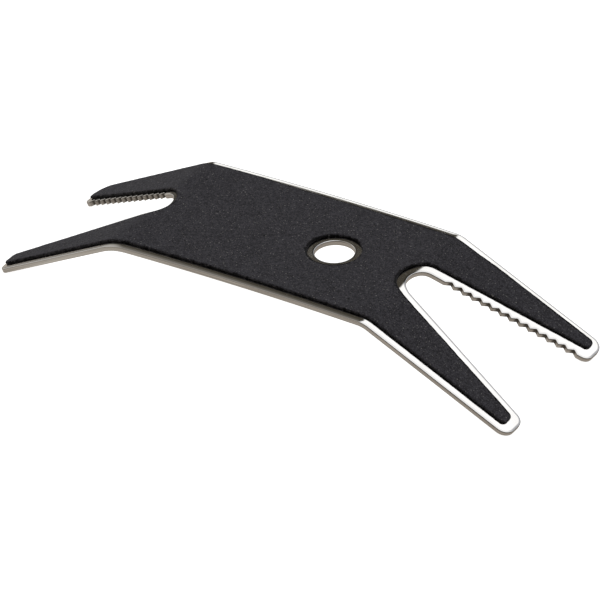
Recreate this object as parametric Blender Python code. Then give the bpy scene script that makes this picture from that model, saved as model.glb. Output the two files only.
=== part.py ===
"""Multi-size jaw wrench for the hexagon nuts of jacks, potentiometers and switches.

One stamped steel plate with a V-shaped jaw at each end. Both ends are pressed down, so the
tool stands like a low bridge on its four prong tips. A suede pad, glued on with an adhesive
film, covers the upper face up to a bare rim.

Every layer is drawn as a flat pattern, x along the tool and y across it, and is then bent.
The upper face of the plate is level 0, and levels below it are inside the steel.
"""
import math

import bmesh
import bpy
import numpy as np

# Plate, in metres
WIDTH = 0.0385
THICKNESS = 0.0012
EDGE_ROUND = 0.0002          # worn-down edges of the stamping
BODY_HALF = 0.0309           # middle of the body to each bend line
CROWN = 0.0005               # rise of the body's middle above its bend lines
HOLE_CENTRE = (0.0118, 0.0003)
HOLE_RADIUS = 0.0042

# Each end: side is the direction of X, and lengths run outward from the bend line.
# rise and fall are the jaw edges' distances from the centre line at the bend line.
# bend_radii are the bend's radius along the -y edge and along the +y edge. A tip is its jaw's
# length, and the radii of its outer and inner corners.
LEFT_END = {
    "side": -1, "bend": math.radians(27.0), "bend_radii": (0.0150, 0.0050),
    "toothed_tip": (0.0328, 0.0045, 0.0014), "smooth_tip": (0.0340, 0.0021, 0.0018),
    "throat": -0.0017,
    "rise": 0.0041, "toothed_angle": math.radians(12.7),
    "fall": 0.0039, "smooth_angle": math.radians(12.7),
    "first_notch": 0.0043, "pitch": 0.00198,
}
RIGHT_END = {
    "side": 1, "bend": math.radians(26.4), "bend_radii": (0.0065, 0.0065),
    "toothed_tip": (0.0378, 0.0028, 0.0022), "smooth_tip": (0.0375, 0.0026, 0.0024),
    "throat": -0.0009,
    "rise": 0.0038, "toothed_angle": math.radians(13.1),
    "fall": 0.0035, "smooth_angle": math.radians(14.1),
    "first_notch": 0.0063, "pitch": 0.00214,
}
NOTCHES = 14
NOTCH_DEPTH = 0.00088

# Pad and film
PAD_INSET = 0.0020           # bare steel rim around the pad
PAD_HOLE_RADIUS = 0.0060
PAD_TIP_RADIUS = 0.0012
PAD_THICKNESS = 0.00055
PAD_EDGE_ROUND = 0.0002
FILM_THICKNESS = 0.00012
FILM_INSET = 0.0003          # film set back under the pad's edge
LAYER_GAP = 0.0003           # the laminated layers stay this far apart

# Fineness
ARC_STEP = math.radians(9.0)
HOLE_SEGMENTS = 40
BODY_STATIONS = 9
BEND_STATIONS = 9


def arc(centre, radius, start, end):
    """Points of an arc, from one angle to another, both included."""
    steps = max(2, round(abs(end - start) / ARC_STEP))
    angles = np.linspace(start, end, steps + 1)
    return [(centre[0] + radius * math.cos(a), centre[1] + radius * math.sin(a)) for a in angles]


def fillet(before, corner, after, radius):
    """The rounded corner between two straight edges."""
    corner = np.array(corner)
    back = np.array(before) - corner
    ahead = np.array(after) - corner
    back /= np.linalg.norm(back)
    ahead /= np.linalg.norm(ahead)
    half = math.acos(float(back @ ahead)) / 2
    middle = back + ahead
    centre = corner + middle / np.linalg.norm(middle) * radius / math.sin(half)
    first = corner + back * radius / math.tan(half) - centre
    last = corner + ahead * radius / math.tan(half) - centre
    start = math.atan2(first[1], first[0])
    turn = math.atan2(last[1], last[0]) - start
    turn = (turn + math.pi) % (2 * math.pi) - math.pi
    return arc(centre, radius, start, start + turn)


def throat_circle(throat, rise, toothed_angle, fall, smooth_angle):
    """Centre and radius of the circle that touches both jaw edges and the throat's end."""
    rows = np.array([
        [1.0, 0.0, -1.0],
        [math.sin(toothed_angle), -math.cos(toothed_angle), -1.0],
        [math.sin(smooth_angle), math.cos(smooth_angle), -1.0],
    ])
    values = [throat, -rise * math.cos(toothed_angle), -fall * math.cos(smooth_angle)]
    x, y, radius = np.linalg.solve(rows, values)
    return (x, y), radius


def tip(sizes, inset, least_radius):
    """A tip's length and its outer and inner corner radii, for a line set back from the edge."""
    length, outer, inner = sizes
    return length - inset, max(outer - inset, least_radius), max(inner - inset, least_radius)


def end_outline(end, inset=0.0, toothed=True, least_radius=0.0):
    """Outline of one end, from its far outer edge (+y) round the jaw to its near one (-y)."""
    toothed_angle = end["toothed_angle"]
    smooth_angle = end["smooth_angle"]
    rise = end["rise"] + inset / math.cos(toothed_angle)
    fall = end["fall"] + inset / math.cos(smooth_angle)
    half = WIDTH / 2 - inset
    length, tip_outer, tip_inner = tip(end["toothed_tip"], inset, least_radius)
    centre, radius = throat_circle(end["throat"] - inset, rise, toothed_angle, fall, smooth_angle)

    def upper(x):
        return rise + x * math.tan(toothed_angle)

    def lower(x):
        return -fall - x * math.tan(smooth_angle)

    points = fillet((0, half), (length, half), (length, 0), tip_outer)
    points += fillet((length, half), (length, upper(length)), (0, upper(0)), tip_inner)
    if toothed:
        for index in reversed(range(NOTCHES)):
            bottom = end["first_notch"] + index * end["pitch"]
            for shift, depth in ((0.5, 0.0), (0.0, NOTCH_DEPTH)):
                x = bottom + shift * end["pitch"]
                points.append((x, upper(x) + depth))
        x = end["first_notch"] - end["pitch"] / 2
        points.append((x, upper(x)))
    points += arc(centre, radius, math.pi / 2 + toothed_angle, 3 * math.pi / 2 - smooth_angle)
    length, tip_outer, tip_inner = tip(end["smooth_tip"], inset, least_radius)
    points += fillet((0, lower(0)), (length, lower(length)), (length, -half), tip_inner)
    points += fillet((length, 0), (length, -half), (0, -half), tip_outer)
    return [(end["side"] * (BODY_HALF + x), y) for x, y in points]


def outline(**choices):
    """The whole flat outline, counterclockwise."""
    right = end_outline(RIGHT_END, **choices)[::-1]
    left = end_outline(LEFT_END, **choices)
    return right + left


def circle(radius):
    """The round hole, clockwise, so that the material lies on its left as on the outline's."""
    angles = np.linspace(2 * math.pi, 0, HOLE_SEGMENTS, endpoint=False)
    x, y = HOLE_CENTRE
    return [(x + radius * math.cos(a), y + radius * math.sin(a)) for a in angles]


def offset(points, distance):
    """Move a closed line to its left, into the material, with mitred corners."""
    points = np.array(points)
    edges = np.roll(points, -1, axis=0) - points
    normals = np.stack([-edges[:, 1], edges[:, 0]], axis=1)
    normals /= np.linalg.norm(normals, axis=1, keepdims=True)
    previous = np.roll(normals, 1, axis=0)
    scale = distance / (1 + (normals * previous).sum(axis=1, keepdims=True))
    return points + (normals + previous) * scale


def bend_section(end, y):
    """The bend as (start, stop, radius, turn) at one y. turn is what it adds to the crown's slope."""
    turn = end["bend"] - 2 * CROWN / BODY_HALF
    near, far = end["bend_radii"]
    radius = near + (far - near) * (y / WIDTH + 0.5)
    start = BODY_HALF - radius * math.tan(turn / 2)
    return start, start + radius * turn, radius, turn


def bent(x, y, level):
    """Where a point of the flat pattern comes to lie, as (x, z), once the ends are down."""
    end = RIGHT_END if x > 0 else LEFT_END
    start, stop, radius, turn = bend_section(end, y)
    crown_radius = BODY_HALF ** 2 / (2 * CROWN)
    on_body = min(abs(x), start)
    angle = on_body / crown_radius
    along = crown_radius * math.sin(angle)
    height = CROWN - crown_radius * (1 - math.cos(angle))
    if abs(x) > start:
        slope = angle + turn * min(1.0, (abs(x) - start) / (stop - start))
        along += radius * (math.sin(slope) - math.sin(angle))
        height += radius * (math.cos(slope) - math.cos(angle))
        angle = slope
    beyond = max(0.0, abs(x) - stop)
    along += beyond * math.cos(angle) + level * math.sin(angle)
    height += level * math.cos(angle) - beyond * math.sin(angle)
    return math.copysign(along, x), height


def stations():
    """Flat x of every line across the pattern where the bent layer may turn."""
    found = []
    inner = []
    for end in (LEFT_END, RIGHT_END):
        edges = [bend_section(end, y) for y in (-WIDTH / 2, WIDTH / 2)]
        start = min(edge[0] for edge in edges)
        stop = max(edge[1] for edge in edges)
        inner.append(end["side"] * start)
        found += [end["side"] * x for x in np.linspace(start, stop, BEND_STATIONS)]
    found += list(np.linspace(inner[0], inner[1], BODY_STATIONS)[1:-1])
    return sorted(found)


def layer(name, contours, profile, material):
    """A bent layer: contours are its closed lines, profile its (inset, level) steps upward."""
    mesh = bmesh.new()
    caps = {0: [], len(profile) - 1: []}
    for contour in contours:
        rings = []
        for step, (inset, level) in enumerate(profile):
            ring = [mesh.verts.new((x, y, level)) for x, y in offset(contour, inset)]
            rings.append(ring)
            if step in caps:
                pairs = zip(ring, ring[1:] + ring[:1])
                caps[step] += [mesh.edges.new(pair) for pair in pairs]
        for low, high in zip(rings, rings[1:]):
            for i in range(len(low)):
                j = (i + 1) % len(low)
                mesh.faces.new((low[i], low[j], high[j], high[i]))
    for edges in caps.values():
        bmesh.ops.triangle_fill(mesh, edges=edges, use_beauty=True)
    for x in stations():
        geometry = mesh.verts[:] + mesh.edges[:] + mesh.faces[:]
        bmesh.ops.bisect_plane(mesh, geom=geometry, dist=1e-7, plane_co=(x, 0, 0), plane_no=(1, 0, 0))
    bmesh.ops.triangulate(mesh, faces=mesh.faces[:])
    for vertex in mesh.verts:
        vertex.co.x, vertex.co.z = bent(*vertex.co)
    bmesh.ops.recalc_face_normals(mesh, faces=mesh.faces[:])
    if mesh.calc_volume(signed=True) < 0:
        bmesh.ops.reverse_faces(mesh, faces=mesh.faces[:])
    data = bpy.data.meshes.new(name)
    mesh.to_mesh(data)
    mesh.free()
    data.materials.append(material)
    data.shade_smooth()
    data.set_sharp_from_angle(angle=math.radians(30))
    thing = bpy.data.objects.new(name, data)
    bpy.context.scene.collection.objects.link(thing)
    return thing


def make_material(name, colour, roughness, metallic=0.0):
    """A Principled material of one colour."""
    material = bpy.data.materials.new(name)
    material.use_nodes = True
    shader = material.node_tree.nodes["Principled BSDF"]
    shader.inputs["Base Color"].default_value = (*colour, 1.0)
    shader.inputs["Roughness"].default_value = roughness
    shader.inputs["Metallic"].default_value = metallic
    return material


def steel_plate():
    """The stamped plate with its two jaws, its round hole and its worn edges."""
    profile = [
        (EDGE_ROUND, -THICKNESS),
        (0.0, -THICKNESS + EDGE_ROUND),
        (0.0, -EDGE_ROUND),
        (EDGE_ROUND, 0.0),
    ]
    contours = [outline(), circle(HOLE_RADIUS)]
    return layer("steel_plate", contours, profile, make_material("polished_steel", (0.66, 0.65, 0.63), 0.16, 1.0))


def adhesive_film():
    """The thin double-sided film between the plate and the pad."""
    bottom = LAYER_GAP
    profile = [(FILM_INSET, bottom), (FILM_INSET, bottom + FILM_THICKNESS)]
    contours = [outline(inset=PAD_INSET, toothed=False, least_radius=PAD_TIP_RADIUS),
                circle(PAD_HOLE_RADIUS)]
    return layer("adhesive_film", contours, profile, make_material("adhesive", (0.06, 0.05, 0.04), 0.55))


def suede_pad():
    """The suede pad, die-cut to the plate's shape less the bare rim."""
    bottom = LAYER_GAP + FILM_THICKNESS + LAYER_GAP
    top = bottom + PAD_THICKNESS
    profile = [(0.0, bottom), (0.0, top - PAD_EDGE_ROUND), (PAD_EDGE_ROUND, top)]
    contours = [outline(inset=PAD_INSET, toothed=False, least_radius=PAD_TIP_RADIUS),
                circle(PAD_HOLE_RADIUS)]
    return layer("suede_pad", contours, profile, make_material("black_suede", (0.035, 0.035, 0.038), 0.95))


def stand_on_tips(plate, layers):
    """Parent the layers to a base that sets all four prong tips on the ground, centred."""
    corners = [vertex.co for vertex in plate.data.vertices]
    left = min((c for c in corners if c.x < 0), key=lambda c: c.z)
    right = min((c for c in corners if c.x > 0), key=lambda c: c.z)
    tilt = math.atan2(right.z - left.z, right.x - left.x)
    along = [c.x * math.cos(tilt) + c.z * math.sin(tilt) for c in corners]
    height = [c.z * math.cos(tilt) - c.x * math.sin(tilt) for c in corners]
    base = bpy.data.objects.new("base", None)
    bpy.context.scene.collection.objects.link(base)
    base.rotation_euler.y = tilt
    base.location = (-(min(along) + max(along)) / 2, 0, -min(height))
    for thing in layers:
        thing.parent = base


def main():
    for thing in list(bpy.data.objects):
        bpy.data.objects.remove(thing, do_unlink=True)
    plate = steel_plate()
    stand_on_tips(plate, [plate, adhesive_film(), suede_pad()])


main()
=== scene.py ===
"""Looks of the jaw wrench: a polished steel plate with a black suede pad, on a pale floor.

Each layer is drawn as a flat pattern, x along the tool and y across it, and is then bent, as
the sheet is. The upper face of the plate is level 0. Lengths are in metres.
"""
import math

import bmesh
import bpy
import numpy as np
from mathutils import Euler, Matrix, Vector, kdtree, noise
from mathutils.geometry import delaunay_2d_cdt


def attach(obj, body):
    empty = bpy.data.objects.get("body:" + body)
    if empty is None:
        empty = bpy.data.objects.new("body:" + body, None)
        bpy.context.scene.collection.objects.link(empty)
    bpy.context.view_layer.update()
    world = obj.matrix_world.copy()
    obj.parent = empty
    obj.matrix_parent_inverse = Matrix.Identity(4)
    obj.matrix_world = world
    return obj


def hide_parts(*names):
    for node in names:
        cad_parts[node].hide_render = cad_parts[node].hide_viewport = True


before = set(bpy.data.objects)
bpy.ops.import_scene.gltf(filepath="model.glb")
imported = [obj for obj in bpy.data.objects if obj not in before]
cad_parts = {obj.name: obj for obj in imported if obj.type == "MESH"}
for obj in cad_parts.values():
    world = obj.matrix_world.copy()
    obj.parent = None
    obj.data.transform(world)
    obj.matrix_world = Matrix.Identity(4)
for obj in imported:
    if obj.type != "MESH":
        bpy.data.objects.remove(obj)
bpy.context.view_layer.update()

# Plate
HALF = 0.01925
THICKNESS = 0.0012
SHOULDER = (0.0012, 0.00013)        # reach inwards, and drop at the edge
THROAT_SHOULDER = (0.0012, 0.00003)
HOLE_SHOULDER = (0.0004, 0.00003)
CORNER_RADIUS = 0.00020
BOTTOM_ROUND = (0.0002, 0.0002)
BODY_HALF = 0.0309
CROWN = 0.0005
HOLE_CENTRE = (0.0118, 0.0003)
HOLE_RADIUS = 0.0042
TILT = math.radians(-0.64407)
BASE = Vector((-0.0019247, 0.0, 0.0170405))

# Ends. A tip is its length beyond the body, and the radii of its outer and inner corners
LEFT_END = {
    "side": -1, "bend": math.radians(27.0), "bend_radii": (0.0150, 0.0050),
    "throat": -0.0017,
    "rise": 0.0041, "toothed": math.radians(12.7), "toothed_tip": (0.0328, 0.0045, 0.0014),
    "fall": 0.0039, "smooth": math.radians(12.7), "smooth_tip": (0.0340, 0.0021, 0.0018),
    "first_notch": 0.0043, "pitch": 0.00198,
}
RIGHT_END = {
    "side": 1, "bend": math.radians(26.4), "bend_radii": (0.0065, 0.0065),
    "throat": -0.0009,
    "rise": 0.0038, "toothed": math.radians(13.1), "toothed_tip": (0.0378, 0.0028, 0.0022),
    "fall": 0.0035, "smooth": math.radians(14.1), "smooth_tip": (0.0375, 0.0026, 0.0024),
    "first_notch": 0.0063, "pitch": 0.00214,
}
NOTCHES = 14
NOTCH_DEPTH = 0.00088
CREST_RADIUS = 0.00012
NOTCH_RADIUS = 0.00016

# Pad, whose ends have edges of their own, and film, above the plate
LEFT_PAD = {
    "side": -1, "halves": (0.0174, 0.0174), "throat": -0.0025,
    "rise": 0.0055, "toothed": math.radians(12.9), "toothed_tip": (0.0320, 0.0038, 0.0003),
    "fall": 0.0060, "smooth": math.radians(12.4), "smooth_tip": (0.0335, 0.0012, 0.0012),
}
RIGHT_PAD = {
    "side": 1, "halves": (0.0177, 0.0174), "throat": -0.0029,
    "rise": 0.0062, "toothed": math.radians(13.9), "toothed_tip": (0.0360, 0.0012, 0.0012),
    "fall": 0.0056, "smooth": math.radians(13.8), "smooth_tip": (0.0353, 0.0012, 0.0012),
}
PAD_TOP = 0.00060
PAD_ROUND = (0.00035, 0.00030)
PAD_HOLE_RADIUS = 0.0057
FILM_TOP = 0.00009
WAIST = (0.0120, 0.0290, 0.0006)    # middle, half length and depth, along the +y edge

FILM_INSET = 0.00025                # film set back under the pad's edge
FILM_CLEARANCE = 0.00001            # between the film and the layers it touches

# Fineness
POINT_SPACING = 0.0005
HOLE_SPACING = 0.0004
ARC_STEP = math.radians(6)
LEAST_RADIUS = 0.00004              # convex corners stay this round when drawn further in
NOTCH_LIMIT = 0.0005                # inner corners with a smaller radius are notches
RIM_START = 0.0040                  # from the long edges, where the rim profile starts to fade in
RIM_WIDTH = 0.0020

# Steel, colours and the bands they lie in, among them painted dark reflections and painted shade
FACE_BRIGHT = (0.70, 0.69, 0.67, 1)
FACE_DULL = (0.63, 0.62, 0.60, 1)
# painted dark reflection along the plate's top edges, weaker on edges that face -y
EDGE_DARK_REFLECTION = (0.27, 0.27, 0.275, 1)
CUT_DULL = (0.50, 0.48, 0.455, 1)
CUT_BRIGHT = (0.70, 0.68, 0.655, 1)
CUT_BAND = (0.34, 0.32, 0.295, 1)
# painted dark lines on the walls: shade along the bottom, a dark reflection of the room along the
# top
WALL_SHADE_LINE = (0.16, 0.145, 0.13, 1)
# painted shade in the bottoms of the notches
NOTCH_SHADE = (0.07, 0.062, 0.052, 1)
WALL_INSET = (0.00001, 0.00005)
EDGE_REFLECTION_INSET = (0.00034, 0.00060)
BOTTOM_SHADE_LEVEL = (-0.00116, -0.00104)
TOP_SHADE_LEVEL = (-0.00034, -0.00022)
TOP_SHADE_ALONG = (0.028, 0.034)     # the top line is stronger beyond the right bend

# Suede
NAP_DARK = (0.0155, 0.015, 0.0175, 1)
NAP_LIGHT = (0.049, 0.0475, 0.055, 1)
FIBRE_END = (0.16, 0.155, 0.15, 1)
# painted shade along the pad's edges: strong left of the right bend and on edges facing +y, weak
# elsewhere
PAD_EDGE_SHADE = (0.0012, 0.0012, 0.0014, 1)
PAD_SHADE_INSET = (0.00022, 0.00055)
PAD_SHADE_SCATTER = 0.0022
PAD_SHADE_SHIFT = 0.00045
PAD_SHADE_ALONG = (0.027, 0.037)
SHEEN_TINT = (0.85, 0.88, 1.0, 1)
ROUGH_AMOUNT = 0.00006              # how far the nap's roughness moves the pad's edge
EDGE_AMOUNT = 0.00007
NAP_AMOUNT = 0.00003

# Stage
FLOOR_RADIUS = 6.0
FLOOR_DROP = 0.0001
FLOOR_GLOW = 0.93
FLOOR_MIRRORED = (0.50, 0.455, 0.405, 1)
FLOOR_NEAR_LEFT = (0.80, 0.76, 0.70, 1)
ROOM = (0.072, 0.064, 0.050, 1)
LEFT_WALL = (0.50, 0.47, 0.43, 1)
SWEEP = (1.5, 1.5, 1.5, 1)
SIDE = (0.95, 0.92, 0.88, 1)
SOFTBOX = (1.55, 1.55, 1.57, 1)
CAMERA_PLACE = (0.491527, -0.72511, 0.569374)
CAMERA_TURN = (57.0765, 2.0132, 32.7764)
LENS = 300


def throat_radius(end):
    """Radius of the circle that touches both jaw edges and the throat's end line."""
    rows = np.array([
        [1.0, 0.0, -1.0],
        [math.sin(end["toothed"]), -math.cos(end["toothed"]), -1.0],
        [math.sin(end["smooth"]), math.cos(end["smooth"]), -1.0],
    ])
    values = [
        end["throat"],
        -end["rise"] * math.cos(end["toothed"]),
        -end["fall"] * math.cos(end["smooth"]),
    ]
    return np.linalg.solve(rows, values)[2]


def end_corners(end, halves, notched):
    """Sharp corners (x, y, radius) of one end.

    They run from its outer edge on the +y side, round the jaw, to the one on the -y side.
    """
    rise, fall = end["rise"], end["fall"]
    up, down = math.tan(end["toothed"]), math.tan(end["smooth"])
    length, outer, inner = end["toothed_tip"]
    corners = [(length, halves[0], outer), (length, rise + length * up, inner)]
    if notched:
        for index in reversed(range(NOTCHES)):
            x = end["first_notch"] + (index + 0.5) * end["pitch"]
            corners.append((x, rise + x * up, CREST_RADIUS))
            x -= end["pitch"] / 2
            corners.append((x, rise + x * up + NOTCH_DEPTH, NOTCH_RADIUS))
        x -= end["pitch"] / 2
        corners.append((x, rise + x * up, CREST_RADIUS))
    apex = -(rise + fall) / (up + down)
    corners.append((apex, rise + apex * up, throat_radius(end)))
    length, outer, inner = end["smooth_tip"]
    corners += [(length, -fall - length * down, inner), (length, -halves[1], outer)]
    return [(end["side"] * (BODY_HALF + x), y, r) for x, y, r in corners]


def plate_corners():
    """Every corner of the plate's flat outline, counterclockwise."""
    halves = (HALF, HALF)
    return end_corners(RIGHT_END, halves, True)[::-1] + end_corners(LEFT_END, halves, True)


def pad_corners():
    """Every corner of the pad's flat outline, counterclockwise."""
    right = end_corners(RIGHT_PAD, RIGHT_PAD["halves"], False)[::-1]
    return right + end_corners(LEFT_PAD, LEFT_PAD["halves"], False)


class Contour:
    """A closed line with rounded corners that can be drawn again further into the material."""

    def __init__(self, corners):
        points = np.array([c[:2] for c in corners])
        self.radii = np.array([c[2] for c in corners])
        ahead = np.roll(points, -1, axis=0) - points
        self.ahead = ahead / np.linalg.norm(ahead, axis=1, keepdims=True)
        self.before = np.roll(self.ahead, 1, axis=0)
        self.points = points
        self.inward = np.stack([-self.ahead[:, 1], self.ahead[:, 0]], axis=1)
        self.inward_before = np.roll(self.inward, 1, axis=0)
        cross = self.before[:, 0] * self.ahead[:, 1] - self.before[:, 1] * self.ahead[:, 0]
        self.turns = np.arctan2(cross, (self.before * self.ahead).sum(axis=1))
        self.arc_counts = [max(3, math.ceil(abs(t) / ARC_STEP)) for t in self.turns]
        self.line_counts = None
        self.ring(0.0)

    def ring(self, inset):
        """Points and outward normals of the line, inset into the material."""
        share = 1 + (self.inward * self.inward_before).sum(axis=1, keepdims=True)
        bisector = (self.inward + self.inward_before) / share
        tips = self.points + bisector * inset
        arcs = []
        for i, turn in enumerate(self.turns):
            convex = turn > 0
            radius = max(self.radii[i] - inset, LEAST_RADIUS) if convex else self.radii[i] + inset
            sign = 1 if convex else -1
            centre = tips[i] + sign * bisector[i] * radius
            first = math.atan2(-self.inward_before[i][1], -self.inward_before[i][0])
            angles = first + turn * np.linspace(0, 1, self.arc_counts[i] + 1)
            normals = np.stack([np.cos(angles), np.sin(angles)], axis=1)
            arcs.append((centre + sign * radius * normals, normals))
        if self.line_counts is None:
            following = arcs[1:] + arcs[:1]
            gaps = [np.linalg.norm(b[0][0] - a[0][-1]) for a, b in zip(arcs, following)]
            self.line_counts = [max(1, math.ceil(g / POINT_SPACING)) for g in gaps]
        points, normals = [], []
        for i, (line, outward) in enumerate(arcs):
            points.append(line)
            normals.append(outward)
            following = arcs[(i + 1) % len(arcs)]
            share = np.arange(1, self.line_counts[i])[:, None] / self.line_counts[i]
            points.append(line[-1] + (following[0][0] - line[-1]) * share)
            normals.append(np.repeat(outward[-1:], len(share), axis=0))
        return np.concatenate(points), np.concatenate(normals)

    def hollow(self):
        """How deep in a notch each point of a ring is, 1 at a notch's bottom."""
        deep = [
            1.0 if turn < 0 and radius < NOTCH_LIMIT else 0.0
            for turn, radius in zip(self.turns, self.radii)
        ]
        values = []
        for i, here in enumerate(deep):
            following = deep[(i + 1) % len(deep)]
            values += [here] * (self.arc_counts[i] + 1)
            share = np.arange(1, self.line_counts[i]) / self.line_counts[i]
            values += list(here + (following - here) * share)
        return values


class Hole:
    """A round hole as a contour, clockwise, with the material outside it."""

    def __init__(self, radius):
        self.radius = radius
        self.count = math.ceil(2 * math.pi * radius / HOLE_SPACING)

    def ring(self, inset):
        """Points and outward normals of the line, inset into the material."""
        angles = np.linspace(2 * math.pi, 0, self.count, endpoint=False)
        way = np.stack([np.cos(angles), np.sin(angles)], axis=1)
        return np.array(HOLE_CENTRE) + (self.radius + inset) * way, -way

    def hollow(self):
        """Nothing of a round hole lies in a notch."""
        return [0.0] * self.count


def inside(points, loop):
    """Which points lie inside a closed line."""
    result = np.zeros(len(points), bool)
    ends = np.roll(loop, -1, axis=0)
    for (ax, ay), (bx, by) in zip(loop, ends):
        if ay == by:
            continue
        crosses = (ay > points[:, 1]) != (by > points[:, 1])
        result ^= crosses & (points[:, 0] < ax + (points[:, 1] - ay) * (bx - ax) / (by - ay))
    return result


def fill(loops, spacing):
    """Triangles that fill the first loop less the others, over an even net of points."""
    outer = loops[0]
    low, high = outer.min(axis=0), outer.max(axis=0)
    rows = np.arange(low[1], high[1], spacing * 0.866)
    net = []
    for index, y in enumerate(rows):
        x = np.arange(low[0] + (index % 2) * spacing / 2, high[0], spacing)
        net.append(np.stack([x, np.full_like(x, y)], axis=1))
    net = np.concatenate(net)
    net = net[inside(net, outer)]
    rim = np.concatenate(loops)
    tree = kdtree.KDTree(len(rim))
    for index, (x, y) in enumerate(rim):
        tree.insert((x, y, 0), index)
    tree.balance()
    keep = [tree.find((x, y, 0))[2] > spacing * 0.6 for x, y in net]
    net = net[keep]
    for loop in loops[1:]:
        net = net[~inside(net, loop)]
    points = np.concatenate([rim, net])
    edges = []
    start = 0
    for loop in loops:
        count = len(loop)
        edges += [(start + i, start + (i + 1) % count) for i in range(count)]
        start += count
    scaled = [Vector(p) for p in (points * 1000).tolist()]
    verts, _, faces, origin, _, _ = delaunay_2d_cdt(scaled, edges, [], 1, 1e-6)
    verts = np.array([tuple(v) for v in verts]) / 1000
    faces = np.array(faces)
    centres = verts[faces].mean(axis=1)
    for loop in loops[1:]:
        faces = faces[~inside(centres, loop)]
        centres = verts[faces].mean(axis=1)
    index_of = [o[0] for o in origin]
    return points, [[index_of[i] for i in face] for face in faces]


def bend_section(end, y):
    """The bend as (start, stop, radius, turn) at one y. Its turn adds to the crown's slope."""
    turn = end["bend"] - 2 * CROWN / BODY_HALF
    near, far = end["bend_radii"]
    radius = near + (far - near) * (y / HALF + 1) / 2
    start = BODY_HALF - radius * math.tan(turn / 2)
    return start, start + radius * turn, radius, turn


def bend(x, y, level, normal):
    """Place and normal of a point of the flat pattern once the ends are down and it stands."""
    side = 1.0 if x > 0 else -1.0
    end = RIGHT_END if x > 0 else LEFT_END
    start, stop, radius, turn = bend_section(end, y)
    crown_radius = BODY_HALF ** 2 / (2 * CROWN)
    angle = min(abs(x), start) / crown_radius
    along = crown_radius * math.sin(angle)
    height = CROWN - crown_radius * (1 - math.cos(angle))
    if abs(x) > start:
        slope = angle + turn * min(1.0, (abs(x) - start) / (stop - start))
        along += radius * (math.sin(slope) - math.sin(angle))
        height += radius * (math.cos(slope) - math.cos(angle))
        angle = slope
    beyond = max(0.0, abs(x) - stop)
    along += beyond * math.cos(angle) + level * math.sin(angle)
    height += level * math.cos(angle) - beyond * math.sin(angle)
    nx, ny, nz = normal
    nx = nx * side
    cosine, sine = math.cos(angle), math.sin(angle)
    nx, nz = nx * cosine + nz * sine, nz * cosine - nx * sine
    place = Vector((along * side, y, height))
    way = Vector((nx * side, ny, nz)).normalized()
    turned = Euler((0, TILT, 0)).to_matrix()
    return turned @ place + BASE, turned @ way


def rim_share(points):
    """1 for points near the tool's long outer edges, 0 for those near the jaws' inner edges."""
    return np.clip((np.abs(points[:, 1]) - (HALF - RIM_START)) / RIM_WIDTH, 0, 1)


def solid(name, outlines, spacing, relief=None):
    """A bent layer between outlines, each a contour with its profiles at outer and inner edges.

    A profile is a list of (inset, level, outward, upward) steps from bottom to top. The mesh
    carries its flat pattern as "flat", (run along the line, level, inset) as "edge", and
    (depth in a notch, outward normal's y, 0) as "form".
    """
    verts, normals, edge, form, faces = [], [], [], [], []
    rings = []
    for step in range(len(outlines[0][1])):
        loops = []
        for contour, rim, inner in outlines:
            inset = rim[step][0]
            points, sides = contour.ring(inset)
            share = rim_share(points)[:, None]
            steps = np.array(rim[step]) * share + np.array(inner[step]) * (1 - share)
            first = len(verts)
            lengths = np.linalg.norm(np.diff(points, axis=0), axis=1)
            run = np.concatenate([[0], np.cumsum(lengths)])
            for (x, y), (nx, ny), far, row in zip(points, sides, run, steps):
                _, level, outward, upward = row
                verts.append((x, y, level))
                normals.append((nx * outward, ny * outward, upward))
                edge.append((far, level, inset))
            form += [(h, side[1], 0) for h, side in zip(contour.hollow(), sides)]
            loops.append((first, points))
        rings.append(loops)
    for low, high in zip(rings, rings[1:]):
        for (a, points), (b, _) in zip(low, high):
            count = len(points)
            for i in range(count):
                after = (i + 1) % count
                faces.append((a + i, a + after, b + after, b + i))
    profile = outlines[0][1]
    for loops, level, way in ((rings[0], profile[0][1], -1), (rings[-1], profile[-1][1], 1)):
        points, triangles = fill([p for _, p in loops], spacing)
        numbers = []
        for first, p in loops:
            numbers += range(first, first + len(p))
        for x, y in points[len(numbers):]:
            numbers.append(len(verts))
            verts.append((x, y, level))
            normals.append((0, 0, way))
            edge.append((0, level, spacing * 2))
            form.append((0, 0, 0))
        faces += [tuple(numbers[i] for i in (t if way > 0 else t[::-1])) for t in triangles]
    flat = list(verts)
    if relief:
        verts = [relief(v, n) for v, n in zip(verts, normals)]
    bent = [bend(*v, n) for v, n in zip(verts, normals)]
    mesh = bpy.data.meshes.new(name)
    mesh.from_pydata([p for p, _ in bent], [], faces)
    mesh.validate()
    for label, values in (("flat", flat), ("edge", edge), ("form", form)):
        layer = mesh.attributes.new(label, "FLOAT_VECTOR", "POINT")
        layer.data.foreach_set("vector", np.array(values, np.float32).ravel())
    mesh.shade_smooth()
    if not relief:
        mesh.normals_split_custom_set_from_vertices([n for _, n in bent])
    thing = bpy.data.objects.new(name, mesh)
    bpy.context.scene.collection.objects.link(thing)
    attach(thing, "root")
    return thing


def rounding(level, size, way, steps):
    """Profile steps of a rounded edge. way is 1 at the top and -1 at the bottom."""
    reach, depth = size
    made = []
    for a in np.linspace(0, math.pi / 2, steps + 1):
        outward, upward = depth * math.cos(a), reach * math.sin(a)
        length = math.hypot(outward, upward)
        made.append((reach * (1 - math.cos(a)), level - way * depth * (1 - math.sin(a)),
                     outward / length, way * upward / length))
    return made if way > 0 else made[::-1]


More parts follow.
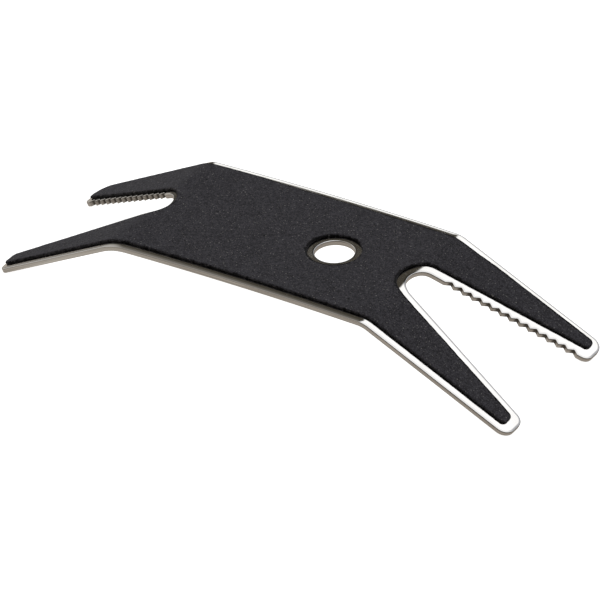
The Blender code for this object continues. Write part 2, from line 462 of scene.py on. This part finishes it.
def shouldered(shoulder, steps):
    """Profile steps of the plate's upper edge: a tight corner, then a shallow slope inwards."""
    reach, drop = shoulder
    slope = math.atan(2 * drop * (reach - CORNER_RADIUS) / reach ** 2)
    start = CORNER_RADIUS * (1 - math.sin(slope))
    low = -drop * ((reach - start) / reach) ** 2 - CORNER_RADIUS * math.cos(slope)
    made = []
    for a in np.linspace(0, math.pi / 2 - slope, 6):
        made.append((CORNER_RADIUS * (1 - math.cos(a)), low + CORNER_RADIUS * math.sin(a),
                     math.cos(a), math.sin(a)))
    for inset in np.linspace(start, reach, steps + 1)[1:]:
        lean = math.atan(2 * drop * (reach - inset) / reach ** 2)
        made.append((inset, -drop * ((reach - inset) / reach) ** 2, math.sin(lean), math.cos(lean)))
    return made


# Nodes

class Nodes:
    """A node tree that is written one call at a time."""

    def __init__(self, tree):
        self.tree = tree
        tree.nodes.clear()

    def add(self, kind, **inputs):
        """A node. _ in an input's name stands for a space, and _0 is the input with number 0."""
        node = self.tree.nodes.new(kind)
        for name, value in inputs.items():
            key = name.replace("_", " ") if not name[1:].isdigit() else int(name[1:])
            self.set(node.inputs[key], value)
        return node

    def set(self, socket, value):
        if isinstance(value, bpy.types.NodeSocket):
            self.tree.links.new(value, socket)
        elif isinstance(value, bpy.types.Node):
            self.tree.links.new(value.outputs[0], socket)
        else:
            socket.default_value = value

    def math(self, operation, *values):
        node = self.tree.nodes.new("ShaderNodeMath")
        node.operation = operation
        for socket, value in zip(node.inputs, values):
            self.set(socket, value)
        return node.outputs[0]

    def range(self, value, low, high, to_low=0.0, to_high=1.0):
        node = self.tree.nodes.new("ShaderNodeMapRange")
        node.interpolation_type = "SMOOTHSTEP"
        for name, given in (("Value", value), ("From Min", low), ("From Max", high),
                            ("To Min", to_low), ("To Max", to_high)):
            self.set(node.inputs[name], given)
        return node.outputs["Result"]

    def mix(self, factor, a, b):
        node = self.tree.nodes.new("ShaderNodeMix")
        node.data_type = "RGBA"
        self.set(node.inputs[0], factor)
        self.set(node.inputs[6], a)
        self.set(node.inputs[7], b)
        return node.outputs[2]

    def scaled(self, vector, x, y, z):
        node = self.tree.nodes.new("ShaderNodeVectorMath")
        node.operation = "MULTIPLY"
        self.set(node.inputs[0], vector)
        node.inputs[1].default_value = (x, y, z)
        return node.outputs[0]

    def noise(self, vector, scale, detail=2.0, roughness=0.5):
        node = self.tree.nodes.new("ShaderNodeTexNoise")
        self.set(node.inputs["Vector"], vector)
        node.inputs["Scale"].default_value = scale
        node.inputs["Detail"].default_value = detail
        node.inputs["Roughness"].default_value = roughness
        return node.outputs[0]

    def attribute(self, name):
        node = self.tree.nodes.new("ShaderNodeAttribute")
        node.attribute_name = name
        return node.outputs["Vector"]

    def separate(self, vector):
        node = self.tree.nodes.new("ShaderNodeSeparateXYZ")
        self.set(node.inputs[0], vector)
        return node.outputs


def material(name):
    """A new material and its empty node tree."""
    made = bpy.data.materials.new(name)
    made.use_nodes = True
    return made, Nodes(made.node_tree)


def steel_material():
    """Polished plate faces, duller sheared walls with lengthwise marks, and painted light: a dark
    reflection along the top edges, dark lines at the walls' top and bottom, and shade in the
    notches.
    """
    made, n = material("polished_steel")
    flat = n.attribute("flat")
    edge = n.attribute("edge")
    run, level, inset = n.separate(edge)
    wall = n.range(inset, *WALL_INSET, 1.0, 0.0)
    marks = n.noise(n.scaled(edge, 60.0, 6000.0, 0.0), 1.0, 2.0, 0.6)
    marks_wide = n.noise(n.scaled(edge, 18.0, 2400.0, 0.0), 1.0, 1.0, 0.5)
    hollow, facing, _ = n.separate(n.attribute("form"))
    smudge = n.noise(flat, 160.0, 3.0, 0.55)
    face = n.mix(n.range(smudge, 0.3, 0.75), FACE_BRIGHT, FACE_DULL)
    # painted dark reflection near the top edges: full on edges facing +y, weaker on those facing -y
    at_edge = n.range(inset, *EDGE_REFLECTION_INSET, 1.0, 0.0)
    edge_reflection = n.math("MULTIPLY", at_edge, n.range(facing, -0.8, 0.0, 0.3, 1.0))
    face = n.mix(edge_reflection, face, EDGE_DARK_REFLECTION)
    cut = n.mix(n.range(marks, 0.35, 0.65), CUT_DULL, CUT_BRIGHT)
    cut = n.mix(n.range(marks_wide, 0.38, 0.62, 0.0, 0.6), cut, CUT_BAND)
    # painted shade along the walls' bottom edge
    cut = n.mix(n.range(level, *BOTTOM_SHADE_LEVEL, 0.55, 0.0), cut, WALL_SHADE_LINE)
    along, _, _ = n.separate(flat)
    # painted dark reflection along the walls' top edge, stronger beyond the right bend
    at_top = n.range(level, *TOP_SHADE_LEVEL)
    top_shade = n.math("MULTIPLY", at_top, n.range(along, *TOP_SHADE_ALONG, 0.25, 0.7))
    cut = n.mix(top_shade, cut, WALL_SHADE_LINE)
    # painted shade in the notch bottoms, deepest at a notch's bottom
    cut = n.mix(n.range(hollow, 0.3, 0.8, 0.0, 0.9), cut, NOTCH_SHADE)
    colour = n.mix(wall, face, cut)
    face_rough = n.range(smudge, 0.3, 0.7, 0.08, 0.14)
    rough = n.math("ADD", face_rough, n.math("MULTIPLY", wall, 0.22))
    height = n.math("MULTIPLY", marks, wall)
    bump = n.add("ShaderNodeBump", Strength=0.15, Distance=0.00005, Height=height)
    shader = n.add("ShaderNodeBsdfPrincipled", Base_Color=colour, Roughness=rough, Normal=bump)
    shader.inputs["Metallic"].default_value = 1.0
    n.add("ShaderNodeOutputMaterial", Surface=shader)
    return made


def suede_material():
    """Black suede: short brushed nap in clumps, with pale fibre ends here and there, and painted
    shade along the pad's edges.
    """
    made, n = material("black_suede")
    flat = n.attribute("flat")
    broad = n.noise(flat, 250.0, 2.0, 0.5)
    clump = n.noise(flat, 1300.0, 2.0, 0.6)
    fibre = n.noise(flat, 3200.0, 2.0, 0.7)
    tone = n.math("ADD", n.math("MULTIPLY", broad, 0.08), n.math("MULTIPLY", clump, 0.28))
    tone = n.math("ADD", tone, n.math("MULTIPLY", fibre, 0.64))
    colour = n.mix(n.range(tone, 0.41, 0.60), NAP_DARK, NAP_LIGHT)
    speck = n.range(n.noise(flat, 3000.0, 0.0, 0.5), 0.72, 0.82)
    colour = n.mix(speck, colour, FIBRE_END)
    _, _, inset = n.separate(n.attribute("edge"))
    _, facing, _ = n.separate(n.attribute("form"))
    along, _, _ = n.separate(flat)
    # painted shade along the pad's edges, its width scattered by noise and widened on edges facing
    # +y
    patches = n.noise(flat, 750.0, 2.0, 0.6)
    scatter = n.math("MULTIPLY", n.math("SUBTRACT", patches, 0.5), PAD_SHADE_SCATTER)
    shift = n.math("SUBTRACT", scatter, n.math("MULTIPLY", facing, PAD_SHADE_SHIFT))
    edge_shade = n.range(n.math("ADD", inset, shift), *PAD_SHADE_INSET, 1.0, 0.0)
    on_left = n.range(along, *PAD_SHADE_ALONG, 0.93, 0.2)
    on_far_side = n.range(facing, 0.0, 0.5, 0.0, 0.95)
    strength = n.math("MAXIMUM", on_left, on_far_side)
    colour = n.mix(n.math("MULTIPLY", edge_shade, strength), colour, PAD_EDGE_SHADE)
    height = n.math("ADD", n.math("MULTIPLY", clump, 0.6), n.math("MULTIPLY", fibre, 0.5))
    bump = n.add("ShaderNodeBump", Strength=0.7, Distance=0.00012, Height=height)
    shader = n.add("ShaderNodeBsdfPrincipled", Base_Color=colour, Normal=bump)
    shader.inputs["Roughness"].default_value = 0.95
    shader.inputs["Specular IOR Level"].default_value = 0.15
    shader.inputs["Sheen Weight"].default_value = 0.06
    shader.inputs["Sheen Roughness"].default_value = 0.45
    shader.inputs["Sheen Tint"].default_value = SHEEN_TINT
    n.add("ShaderNodeOutputMaterial", Surface=shader)
    return made


def film_material():
    """Dark adhesive, slightly glossy."""
    made, n = material("adhesive")
    flat = n.attribute("flat")
    tone = n.noise(flat, 900.0, 2.0, 0.5)
    colour = n.mix(tone, (0.018, 0.016, 0.014, 1), (0.05, 0.045, 0.04, 1))
    shader = n.add("ShaderNodeBsdfPrincipled", Base_Color=colour)
    shader.inputs["Roughness"].default_value = 0.45
    n.add("ShaderNodeOutputMaterial", Surface=shader)
    return made


def make_plate():
    """The steel plate, with rounded edges."""
    lower = rounding(-THICKNESS, BOTTOM_ROUND, -1, 3)
    around_hole = lower + shouldered(HOLE_SHOULDER, 6)
    rim = lower + shouldered(SHOULDER, 6)
    inner = lower + shouldered(THROAT_SHOULDER, 6)
    outlines = [
        (Contour(plate_corners()), rim, inner),
        (Hole(HOLE_RADIUS), around_hole, around_hole),
    ]
    plate = solid("plate", outlines, 0.0007)
    plate.data.materials.append(steel_material())
    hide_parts("steel_plate")


def waisted(vertex):
    """A point moved as the pad's outline is drawn in along its middle."""
    x, y, level = vertex
    middle, half_length, depth = WAIST
    share = max(0.0, 1 - ((x - middle) / half_length) ** 6)
    return x, y - depth * share * max(0.0, y / HALF) ** 3, level


def pad_relief(vertex, normal):
    """The pad draws in along its middle, and its nap is uneven."""
    x, y, level = waisted(vertex)
    rough = noise.fractal(Vector((x, y, level)) * 1400, 0.9, 2.1, 3)
    edge = noise.fractal(Vector((x, y, 0)) * 380, 0.8, 2.0, 2)
    upper = min(1.0, max(0.0, level / PAD_TOP))
    x += normal[0] * (ROUGH_AMOUNT * rough + EDGE_AMOUNT * edge) * upper
    y += normal[1] * (ROUGH_AMOUNT * rough + EDGE_AMOUNT * edge) * upper
    if level > FILM_TOP + 1e-6:
        level += NAP_AMOUNT * rough * upper
    return x, y, level


def make_pad():
    """The suede pad."""
    profile = [(0.00008, FILM_TOP, 0.3, -0.95), (0.0, FILM_TOP + 0.00008, 1.0, 0.0)]
    profile += rounding(PAD_TOP, PAD_ROUND, 1, 5)
    outlines = [(c, profile, profile) for c in (Contour(pad_corners()), Hole(PAD_HOLE_RADIUS))]
    pad = solid("pad", outlines, 0.00045, pad_relief)
    pad.data.materials.append(suede_material())
    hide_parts("suede_pad")
    return pad


def make_film():
    """The adhesive film under the pad."""
    profile = [
        (FILM_INSET, FILM_CLEARANCE, 1.0, 0.0),
        (FILM_INSET, FILM_TOP - FILM_CLEARANCE, 1.0, 0.0),
    ]
    outlines = [(c, profile, profile) for c in (Contour(pad_corners()), Hole(PAD_HOLE_RADIUS))]
    film = solid("film", outlines, 0.0012, lambda v, n: waisted(v))
    film.data.materials.append(film_material())
    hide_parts("adhesive_film")


def make_floor():
    """A wide floor, near white to the camera and a warm grey in the steel's reflections."""
    mesh = bpy.data.meshes.new("floor")
    grid = bmesh.new()
    bmesh.ops.create_circle(grid, cap_ends=True, segments=64, radius=FLOOR_RADIUS)
    grid.to_mesh(mesh)
    grid.free()
    floor = bpy.data.objects.new("floor", mesh)
    floor.location.z = -FLOOR_DROP
    bpy.context.scene.collection.objects.link(floor)
    made, n = material("floor")
    seen = n.add("ShaderNodeBsdfPrincipled")
    seen.inputs["Base Color"].default_value = (0.5, 0.5, 0.5, 1)
    seen.inputs["Roughness"].default_value = 1.0
    seen.inputs["Specular IOR Level"].default_value = 0.0
    seen.inputs["Emission Color"].default_value = (1, 1, 1, 1)
    seen.inputs["Emission Strength"].default_value = FLOOR_GLOW
    x, y, _ = n.separate(n.add("ShaderNodeTexCoord").outputs["Object"])
    # a painted pool of light on the floor near the left front, seen only in the steel's reflections
    on_left = n.range(x, -0.075, -0.015, 1.0, 0.0)
    in_front = n.range(y, -0.030, -0.018, 1.0, 0.0)
    near_left = n.math("MULTIPLY", on_left, in_front)
    mirrored = n.add("ShaderNodeEmission", Color=n.mix(near_left, FLOOR_MIRRORED, FLOOR_NEAR_LEFT))
    path = n.add("ShaderNodeLightPath").outputs["Is Camera Ray"]
    both = n.add("ShaderNodeMixShader", _0=path)
    n.set(both.inputs[1], mirrored)
    n.set(both.inputs[2], seen)
    n.add("ShaderNodeOutputMaterial", Surface=both)
    mesh.materials.append(made)


def make_world():
    """A dim room: white sweep behind, pale areas on the left, softbox high on the far right."""
    world = bpy.data.worlds.new("studio")
    bpy.context.scene.world = world
    world.use_nodes = True
    n = Nodes(world.node_tree)
    place = n.add("ShaderNodeTexCoord").outputs["Generated"]
    x, y, z = n.separate(place)
    azimuth = n.math("ARCTAN2", x, y)
    elevation = n.math("ARCSINE", z)
    deg = math.radians

    def window(value, low, high, soft):
        up = n.range(value, deg(low - soft), deg(low + soft))
        down = n.range(value, deg(high - soft), deg(high + soft), 1.0, 0.0)
        return n.math("MULTIPLY", up, down)

    def towards(az, el):
        node = n.tree.nodes.new("ShaderNodeVectorMath")
        node.operation = "DOT_PRODUCT"
        n.set(node.inputs[0], place)
        node.inputs[1].default_value = (
            math.sin(deg(az)) * math.cos(deg(el)),
            math.cos(deg(az)) * math.cos(deg(el)),
            math.sin(deg(el)),
        )
        return node.outputs["Value"]

    left = n.range(towards(-105, 45), math.cos(deg(50)), math.cos(deg(25)))
    colour = n.mix(left, ROOM, LEFT_WALL)
    sweep = n.math("MULTIPLY", window(azimuth, -38, 38, 3), window(elevation, 9, 27.5, 2.0))
    right = n.math("MULTIPLY", window(azimuth, -18, 60, 4), window(elevation, 9, 50, 3))
    sweep = n.math("MAXIMUM", sweep, right)
    colour = n.mix(sweep, colour, SWEEP)
    side = n.range(towards(-80, 18), math.cos(deg(35)), math.cos(deg(12)))
    colour = n.mix(side, colour, SIDE)
    box = n.range(towards(50, 68), math.cos(deg(38)), math.cos(deg(33)))
    colour = n.mix(box, colour, SOFTBOX)
    background = n.add("ShaderNodeBackground", Color=colour, Strength=1.0)
    n.add("ShaderNodeOutputWorld", Surface=background)


def make_camera():
    """A long lens from the near right, above."""
    data = bpy.data.cameras.new("camera")
    data.lens = LENS
    data.sensor_width = 36
    data.clip_end = 50
    camera = bpy.data.objects.new("camera", data)
    camera.location = CAMERA_PLACE
    camera.rotation_euler = [math.radians(a) for a in CAMERA_TURN]
    bpy.context.scene.collection.objects.link(camera)
    bpy.context.scene.camera = camera


make_plate()
make_film()
pad = make_pad()
make_floor()
make_world()
make_camera()
scene = bpy.context.scene
scene.view_settings.view_transform = "Standard"
scene.view_settings.look = "None"
